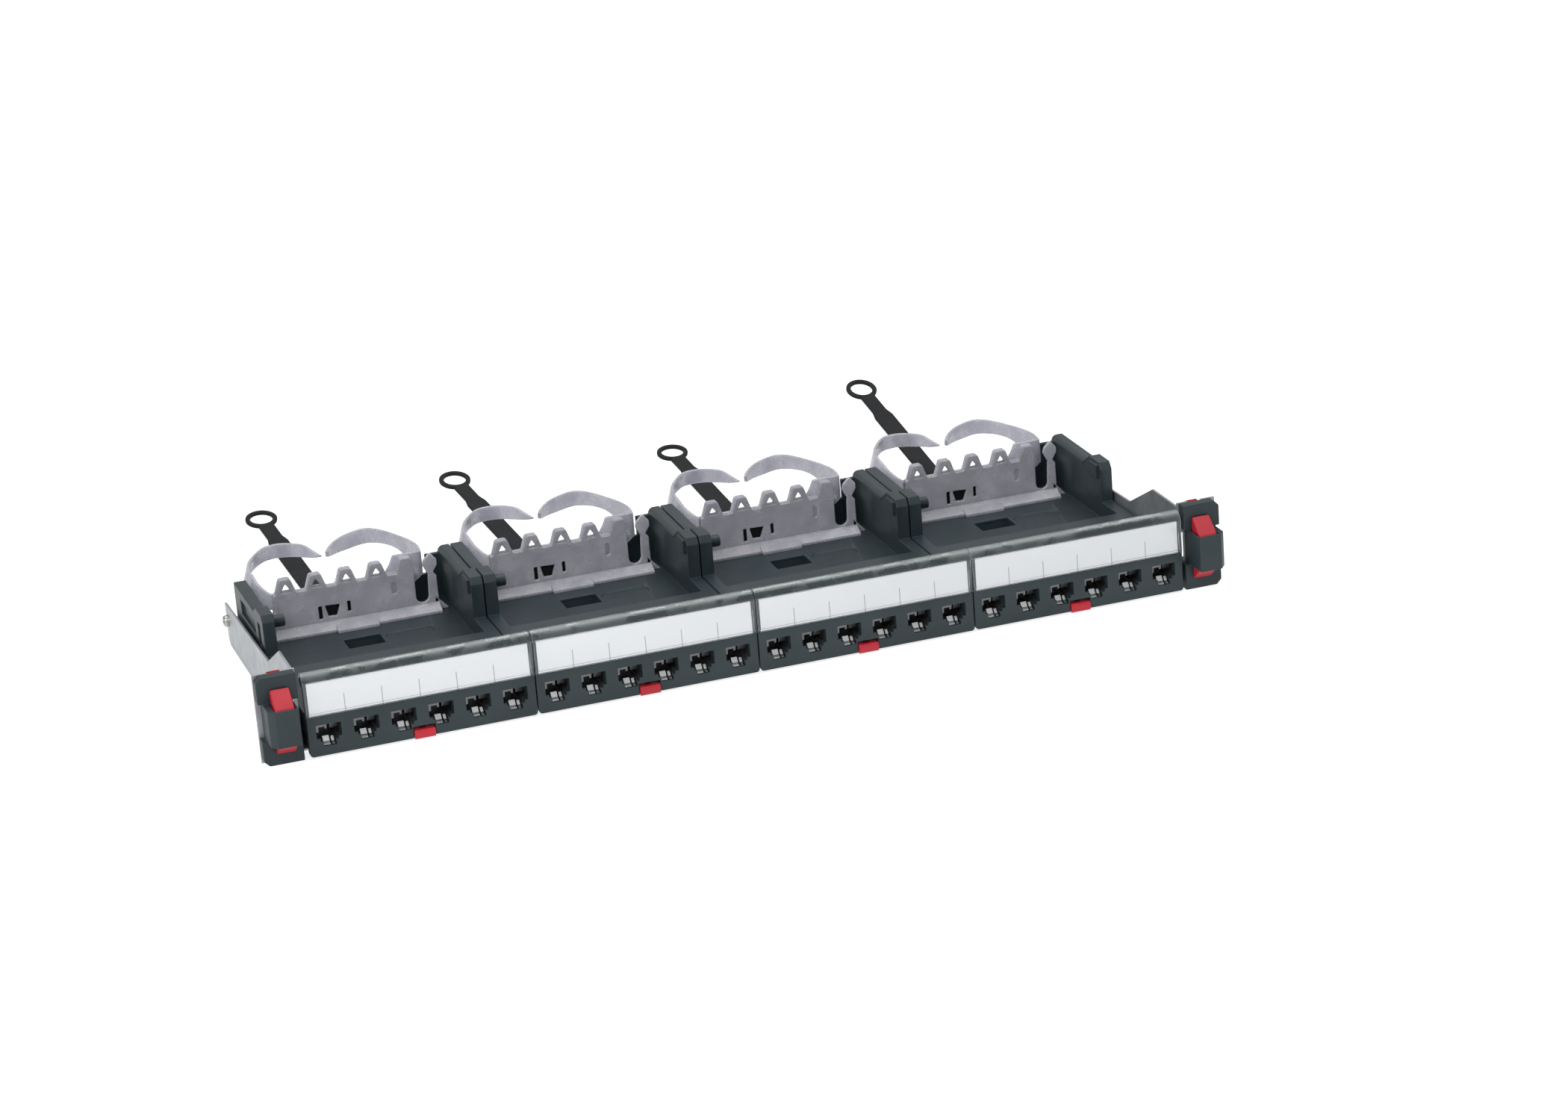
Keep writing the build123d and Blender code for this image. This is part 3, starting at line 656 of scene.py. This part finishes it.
for drawer in drawers:
    wires = grown_piece(f"contact_wires_{drawer}", wire_tree, gilt, no_mesh, drawer)
    dress(wires, gilt, f"drawer_{drawer}", "die_cast")

# CABLE COMBS
# Moulded in natural, milky plastic with a glossy, blotchy skin, clipped to the deck at its rear.
# Teeth part the cables, and two thin arms curl round to close a ring about the bundle.
# Drawn in millimetres from the drawer's left edge.

deck = -9.0
comb_left, foot_right = 13.0, 97.6
comb_front, plate_back, crest_back = 122.5, 124.3, 127.0
bar_left, bar_right, bar_top = 16.5, 86.2, 10.2
rear_plate_front, rear_plate_back = 129.3, 131.1
wall = 1.8
valley, tooth_top = 13.2, 20.6
tooth_half, tooth_top_half, hole_half = 5.2, 2.7, 2.6
plate_foot = -7.5
tooth_middles = [22.0 + 15.2 * i for i in range(5)]
slot_middle, slot_half, slot_bottom = 89.5, 3.3, -0.8
arm_top = 20.4
facing_front = Matrix.Rotation(math.pi / 2, 4, "X")
along_x = Matrix.Rotation(math.pi / 2, 4, "Z") @ facing_front


def rounded_outline(corners, steps=4):
    """A closed outline of corners (x, z, radius), each turned by a soft curve."""
    line = []
    for i, (x, z, radius) in enumerate(corners):
        corner = Vector((x, z))
        before = Vector(corners[i - 1][:2]) - corner
        after = Vector(corners[(i + 1) % len(corners)][:2]) - corner
        if radius == 0:
            line.append(corner)
            continue
        room = 0.48 * min(before.length, after.length)
        reach = min(radius / math.tan(before.angle(after) / 2), room)
        first = corner + before.normalized() * reach
        last = corner + after.normalized() * reach
        for step in range(steps + 1):
            t = step / steps
            line.append(first.lerp(corner, t).lerp(corner.lerp(last, t), t))
    return line


def add_sheet(work, outlines, thickness, rounding, place):
    """Adds a flat sheet, pierced by the outlines after the first, and moves it to its place."""
    curve = bpy.data.curves.new("sheet", "CURVE")
    curve.dimensions = "2D"
    curve.fill_mode = "BOTH"
    curve.extrude = thickness / 2 - rounding
    curve.bevel_depth = rounding
    curve.bevel_resolution = 2
    curve.offset = -rounding
    for outline in outlines:
        spline = curve.splines.new("POLY")
        spline.points.add(len(outline) - 1)
        for point, (x, y) in zip(spline.points, outline):
            point.co = (x, y, 0, 1)
        spline.use_cyclic_u = True
    mesh = evaluated_mesh(new_object("sheet_draft", curve))
    mesh.transform(place)
    work.from_mesh(mesh)
    bpy.data.meshes.remove(mesh)


def add_plate(work, outlines, front, back, rounding):
    """Adds a plate drawn in X and Z, from front to back along Y."""
    place = Matrix.Translation((0, (front + back) / 2, 0)) @ facing_front
    add_sheet(work, outlines, back - front, rounding, place)


def add_bar(work, outline, left, right, rounding=0.3):
    """Adds a bar of a section drawn in Y and Z, from left to right along X."""
    place = Matrix.Translation(((left + right) / 2, 0, 0)) @ along_x
    add_sheet(work, [outline], right - left, rounding, place)


def value_between(before, start, end, after, t):
    """A value on the smooth curve from start to end, led by the values before and after them."""
    return 0.5 * (2 * start + (end - before) * t
                  + (2 * before - 5 * start + 4 * end - after) * t ** 2
                  + (3 * start - before - 3 * end + after) * t ** 3)


def smooth_line(points, steps=7):
    """A smooth line through points of any number of values."""
    line = []
    last = len(points) - 1
    for i in range(last):
        near = (points[max(i - 1, 0)], points[i], points[i + 1], points[min(i + 2, last)])
        for step in range(steps):
            line.append([value_between(*values, step / steps) for values in zip(*near)])
    line.append(list(points[-1]))
    return line


def add_arm(work, points, thickness=wall, rounding=0.45):
    """Adds a strip on edge; each point gives X, Y, lower edge, upper edge and the lower edge's lean."""
    line = smooth_line(points)
    inset = 1 - 2 * rounding / thickness
    rings = []
    for i, (x, y, low, high, lean) in enumerate(line):
        before = line[max(i - 1, 0)]
        after = line[min(i + 1, len(line) - 1)]
        side = Vector((before[1] - after[1], after[0] - before[0])).normalized() * thickness / 2
        rise = min(rounding, (high - low) / 3)
        section = [(-1, low + rise), (-inset, low), (inset, low), (1, low + rise),
                   (1, high - rise), (inset, high), (-inset, high), (-1, high - rise)]
        ring = []
        for across, z in section:
            shift = lean * (high - z) / max(high - low, 0.1)
            ring.append(work.verts.new((x + shift + across * side.x, y + across * side.y, z)))
        rings.append(ring)
    skin_rings(work, rings)


def moulded_mesh(name, work):
    """Closes a draft drawn in millimetres: one mesh in metres with soft corners and flat faces."""
    bmesh.ops.remove_doubles(work, verts=work.verts, dist=0.002)
    bmesh.ops.recalc_face_normals(work, faces=work.faces)
    mesh = mesh_in_metres(name, work)
    mesh.shade_smooth()
    mesh.set_sharp_from_angle(angle=math.radians(50))
    draft = new_object(name + "_draft", mesh)
    even = draft.modifiers.new("even", "WEIGHTED_NORMAL")
    even.keep_sharp = True
    return evaluated_mesh(draft)


def tooth_corners(middle):
    """The four corners of one tooth."""
    return [(middle - tooth_half, valley, 0.9), (middle - tooth_top_half, tooth_top, 1.7),
            (middle + tooth_top_half, tooth_top, 1.7), (middle + tooth_half, valley, 0.9)]


def rectangle(left, right, low, high):
    """The four corners of a rectangle."""
    return [(left, low), (left, high), (right, high), (right, low)]


slot_left = slot_middle - slot_half
crest_corners = [corner for middle in tooth_middles[:-1] for corner in tooth_corners(middle)]
last_tooth = tooth_corners(tooth_middles[-1])[:3] + [(slot_left, valley + 0.6, 1.0)]
slot_arc = [(slot_middle - slot_half * math.cos(turn), slot_bottom - slot_half * math.sin(turn), 0)
            for turn in [math.pi * step / 10 for step in range(11)]]
prong = [(93.1, 7.0, 2.0), (93.3, 10.0, 0.6), (90.9, 15.0, 1.4), (91.6, 17.6, 1.2), (95.1, 21.0, 1.0),
         (98.2, 17.2, 1.4), (98.2, 14.4, 0.9), (95.9, 10.8, 0.5), (97.4, 8.8, 0.6),
         (foot_right, plate_foot, 0)]
left_side = [(comb_left, plate_foot, 0), (14.2, 2.0, 1.0), (15.4, valley, 1.0)]
front_outline = rounded_outline(left_side + crest_corners + last_tooth + slot_arc + prong)
crest_foot = valley - 2.0
crest_outline = rounded_outline([(15.6, crest_foot, 0), (15.6, valley, 1.0)] + crest_corners + last_tooth
                                + [(slot_left, crest_foot, 0)])
hole_foot = valley + 0.7
tooth_holes = [rounded_outline([(middle - hole_half, hole_foot, 0.4),
                                (middle + hole_half, hole_foot, 0.4),
                                (middle, valley + 5.0, 0.5)]) for middle in tooth_middles[:-1]]
# the front plate's holes: a trapezoid, a slit on each side of it and a longer one before the last tooth
hollows = [rounded_outline([(40.4, 3.4, 0.5), (48.0, 3.0, 0.5), (46.0, -2.5, 0.6), (41.8, -2.3, 0.6)]),
           rounded_outline([(37.0, 3.4, 0.5), (38.9, 3.4, 0.5), (38.9, -3.2, 0.5), (37.0, -3.2, 0.5)]),
           rounded_outline([(51.6, 3.8, 0.5), (53.3, 3.8, 0.5), (53.3, -1.6, 0.5), (51.6, -1.6, 0.5)]),
           rounded_outline([(74.6, 9.4, 0.6), (76.8, 8.6, 1.0), (76.8, 3.6, 1.0), (74.6, 2.8, 0.6)])]
rear_outline = rounded_outline([(bar_left, deck, 0), (bar_left, bar_top, 0), (72.0, bar_top, 3.0),
                                (76.0, 16.0, 5.0), (78.0, arm_top, 1.2), (91.6, arm_top, 0),
                                (91.6, 7.4, 2.5), (bar_right, 4.0, 2.0), (bar_right, deck, 0)])
strap_gate = rectangle(39.0, 52.5, -8.4, -5.0)
left_arm = [(18.5, 130.2, 2.6, 10.2, 0), (14.6, 131.6, 4.0, 12.5, -0.6), (11.4, 136.0, 5.8, 15.6, -1.6),
            (9.8, 142.0, 7.4, 18.8, -2.2), (9.6, 149.0, 8.8, 20.3, -3.4),
            (13.6, 161.5, 11.8, arm_top, -2.6), (21.5, 174.0, 12.8, arm_top, -1.2),
            (28.0, 177.3, 13.0, arm_top, -0.4), (35.0, 175.6, 13.2, arm_top, 0),
            (41.6, 169.6, 13.6, 20.2, 0.4), (45.6, 165.4, 14.0, 17.8, 0.4), (48.6, 162.4, 14.8, 15.6, 0.4)]
right_arm = [(91.0, 130.0, 7.4, 19.8, 0), (92.1, 132.6, 7.4, 20.0, 0), (92.5, 141.0, 7.8, arm_top, 0.4),
             (90.4, 151.0, 9.2, arm_top, 1.0), (87.0, 160.0, 12.4, arm_top, 1.0),
             (83.5, 168.0, 13.2, arm_top, 0.6), (79.0, 175.0, 12.8, arm_top, 0.2),
             (73.5, 177.6, 12.4, arm_top, 0), (64.0, 173.0, 12.6, arm_top, 0),
             (57.5, 167.2, 13.6, 20.2, 0), (53.2, 161.6, 14.6, 19.6, 0), (51.2, 157.8, 15.9, 18.8, 0)]
# the foot's slanted front, longer under the second and third teeth
foot = rounded_outline([(plate_back, -4.6, 0), (comb_front, -4.6, 2.0), (117.0, -7.8, 0.4),
                        (117.0, deck, 0), (plate_back, deck, 0)])
toe = rounded_outline([(114.5, deck, 0), (114.5, -7.6, 0.3), (119.0, -6.0, 0), (119.0, deck, 0)])
# the shelf and the end walls that join the front plate to the rear one, and the fin at the foot's end
shelf = rectangle(124.0, 130.0, 8.8, bar_top)
end_wall = rectangle(123.4, 130.0, deck, 10.0)
fin = rounded_outline([(95.5, deck, 0), (102.4, deck, 0.5), (95.5, -1.5, 0)])

work = bmesh.new()
add_plate(work, [front_outline] + tooth_holes + hollows, comb_front, plate_back, 0.5)
add_plate(work, [crest_outline] + tooth_holes, comb_front + 0.5, crest_back, 0.43)
add_plate(work, [rear_outline, strap_gate], rear_plate_front, rear_plate_back, 0.4)
add_bar(work, foot, comb_left, foot_right)
add_bar(work, toe, 44.0, 65.0)
add_bar(work, shelf, bar_left, bar_right)
for left in (bar_left, bar_right - wall):
    add_bar(work, end_wall, left, left + wall)
add_plate(work, [fin], comb_front, plate_back, 0.3)
add_arm(work, left_arm)
add_arm(work, right_arm)
comb_mesh = moulded_mesh("cable_comb", work)

milky, tree, shader = principled("milky_plastic")
blotches = object_noise(tree, 120, detail=5.0, roughness=0.6)
milk = ramp_between(tree, blotches, (0.50, 0.505, 0.57), (0.70, 0.70, 0.76), 0.3, 0.75)
feed(tree, shader.inputs["Base Color"], milk)
feed(tree, shader.inputs["Roughness"], spread(tree, blotches, 0.36, 0.2))
feed(tree, shader.inputs["Transmission Weight"], 0.4)
feed(tree, shader.inputs["IOR"], 1.5)
feed(tree, shader.inputs["Subsurface Weight"], 0.3)
feed(tree, shader.inputs["Subsurface Radius"], (0.004, 0.004, 0.0045))
feed(tree, shader.inputs["Subsurface Scale"], 1.0)
bump_from(tree, shader, object_noise(tree, 330), strength=0.25, distance=0.0004)
for drawer in drawers:
    comb = placed_copy(f"cable_comb_{drawer}_finish", comb_mesh, drawer)
    dress(comb, milky, f"drawer_{drawer}", "comb_plastic", f"cable_comb_{drawer}")

# CABLE STRAPS
# A flat strap of black rubber from under the comb to a ring, which stretches over the boss in use.
# Each rises and swings by its own angle; its foot is held by an anchor inside the comb's bar, a black
# rubber block that is partly painted shade behind the comb's front holes.

foot_middle, foot_back = 46.5, 138.4
foot_length = 13.4
overlap = 1.0
strap_half, neck_half = 5.2, 4.0
wide_end, neck_start, ring_middle = 79.0, 84.0, 104.9
ring_outer, ring_inner = 8.2, 5.8
strap_thickness = 1.9
strap_rounding = 0.5
strap_rise = (11.5, 13.4, 9.6, 20.0)
strap_swing = (6.2, 10.3, 5.0, 7.6)


def round_part(radius, start, end, steps):
    """Points on a circle about the ring's middle, turned in degrees from the strap's own direction."""
    turns = [math.radians(start + (end - start) * step / steps) for step in range(steps + 1)]
    return [Vector((radius * math.sin(turn), ring_middle + radius * math.cos(turn))) for turn in turns]


neck_turn = 180 - math.degrees(math.asin(neck_half / ring_outer))
left_edge = [(-strap_half, -overlap), (-strap_half, wide_end), (-neck_half, neck_start)]
right_edge = [(neck_half, neck_start), (strap_half, wide_end), (strap_half, -overlap)]
strap_outline = left_edge + round_part(ring_outer, -neck_turn, neck_turn, 40) + right_edge
# the hole's line stops a step short of a full turn, because an outline closes itself
ring_hole = round_part(ring_inner, -180, 171, 39)
foot_outline = rectangle(-strap_half, strap_half, -foot_length, overlap)
rubber = moulded_plastic("strap_rubber", (0.0045, 0.0065, 0.0075),
                         roughness=0.55, grain=0.2, specular=0.25)
for drawer, rise, swing in zip(drawers, strap_rise, strap_swing):
    lying = (Matrix.Translation((foot_middle, foot_back, deck + strap_thickness / 2))
             @ Matrix.Rotation(math.radians(swing), 4, "Z"))
    rising = lying @ Matrix.Rotation(math.radians(rise), 4, "X")
    work = bmesh.new()
    add_sheet(work, [strap_outline, ring_hole], strap_thickness, strap_rounding, rising)
    add_sheet(work, [foot_outline], strap_thickness, strap_rounding, lying)
    # the anchor: black rubber behind the comb's front holes, partly painted shade that darkens them
    add_block(work, across=(36.0, 55.0), along=(125.0, 128.6), upright=(deck + 0.3, 5.0))
    strap = placed_copy(f"cable_strap_{drawer}_finish", moulded_mesh("cable_strap", work), drawer)
    dress(strap, rubber, f"drawer_{drawer}", "strap_rubber", f"cable_strap_{drawer}")

# STUDIO
# A plain pale floor under the caps, soft light from above and from the left, and the camera.
# The floor and the sky look brighter to the camera than the light they give.


def seen_directly(tree):
    """1 for rays from the camera, also through clear plastic, and 0 for the rest."""
    path = add_node(tree, "ShaderNodeLightPath")
    return number_node(tree, "MAXIMUM", path.outputs["Is Camera Ray"],
                       path.outputs["Is Transmission Ray"])


floor_height = cad_box[0][2]
floor_reach = 6.0
floor_corners = [(-floor_reach, -floor_reach, floor_height), (floor_reach, -floor_reach, floor_height),
                 (floor_reach, floor_reach, floor_height), (-floor_reach, floor_reach, floor_height)]
floor_mesh = bpy.data.meshes.new("floor")
floor_mesh.from_pydata(floor_corners, [], [(0, 1, 2, 3)])
floor = new_object("floor", floor_mesh)
pale, tree, shader = principled("pale_floor")
feed(tree, shader.inputs["Base Color"], (0.5, 0.5, 0.5, 1))
feed(tree, shader.inputs["Roughness"], 1.0)
feed(tree, shader.inputs["Specular IOR Level"], 0.0)
feed(tree, shader.inputs["Emission Color"], (1, 1, 1, 1))
feed(tree, shader.inputs["Emission Strength"], spread(tree, seen_directly(tree), 0.52, 0.78))
paint(floor, pale)

world = bpy.data.worlds.new("studio")
bpy.context.scene.world = world
world.use_nodes = True
tree = world.node_tree
background = tree.nodes["Background"]
feed(tree, background.inputs["Color"], (1, 1, 1, 1))
feed(tree, background.inputs["Strength"], spread(tree, seen_directly(tree), 0.55, 1.0))


def softbox(name, place, target, size, power):
    """A large area lamp turned to a target."""
    lamp = bpy.data.lights.new(name, "AREA")
    lamp.shape = "RECTANGLE"
    lamp.size, lamp.size_y = size
    lamp.energy = power
    box = new_object(name, lamp)
    box.location = place
    box.rotation_euler = (Vector(target) - Vector(place)).to_track_quat("-Z", "Y").to_euler()


softbox("key", place=(-1.2, -1.3, 1.5), target=(0, 0, 0), size=(1.4, 1.0), power=22)
softbox("top", place=(0.3, 0.4, 1.7), target=(0, 0.08, 0), size=(1.6, 1.2), power=14)

camera_data = bpy.data.cameras.new("camera")
camera_data.lens = 97.8
camera_data.sensor_width = 36
camera_data.clip_end = 50
camera = new_object("camera", camera_data)
camera.location = (-0.5533, -1.8158, 0.7172)
camera.rotation_euler = [math.radians(angle) for angle in (70.09, 4.132, -18.978)]
bpy.context.scene.camera = camera
bpy.context.scene.view_settings.view_transform = "Standard"
